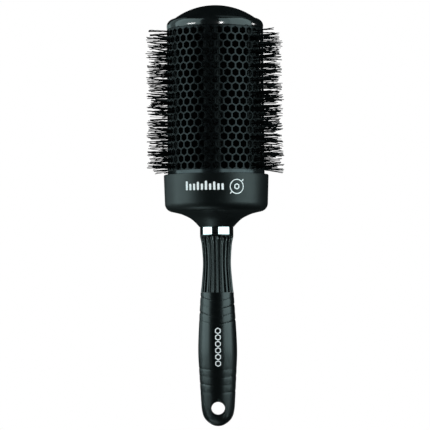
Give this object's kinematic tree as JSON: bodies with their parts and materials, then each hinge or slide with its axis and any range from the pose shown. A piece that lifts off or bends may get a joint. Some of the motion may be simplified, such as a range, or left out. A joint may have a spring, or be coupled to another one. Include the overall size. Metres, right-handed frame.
{
  "type": "round barrel brush",
  "caption": "Round hair brush with a vented metal barrel, lengthwise bristle strips, a bell-shaped collar, a chrome ring and a long soft-grip handle with a hang hole.",
  "frame": {"origin": "middle of the small flat on the handle's end, on the brush's axis", "axes": "+Z along the brush from the handle's end to the domed cap; -Y is the front; the hang hole runs along Y; +X to the right seen from the front"},
  "size_m": [0.0952, 0.0982, 0.2825],
  "materials": {
    "cap_plastic": "satin black moulded plastic",
    "barrel_metal": "graphite coating, satin",
    "nylon": "black nylon filament",
    "collar_plastic": "soft-touch coating, fine grain",
    "soft_grip": "soft-touch elastomer, fine grain",
    "neck_plastic": "black moulded plastic with satin ribs",
    "chrome": "polished",
    "stiff_plastic": "as moulded",
    "steel": "zinc plated",
    "brass": "as turned"
  },
  "bodies": {
    "root": {"end_cap": "cap_plastic", "rod_nut": "steel", "rod_washer": "steel", "tie_rod": "steel", "top_plug": "stiff_plastic", "barrel": "barrel_metal", "bristle_core": "stiff_plastic", "bristle_strip_1": "nylon", "bristle_strip_2": "nylon", "bristle_strip_3": "nylon", "bristle_strip_4": "nylon", "bristle_strip_5": "nylon", "bristle_strip_6": "nylon", "base_plug": "stiff_plastic", "collar": "collar_plastic", "chrome_ring": "chrome", "neck_sleeve": "neck_plastic", "handle_core": "stiff_plastic", "threaded_insert": "brass", "grip_sleeve": "soft_grip"}
  },
  "joints": []
}
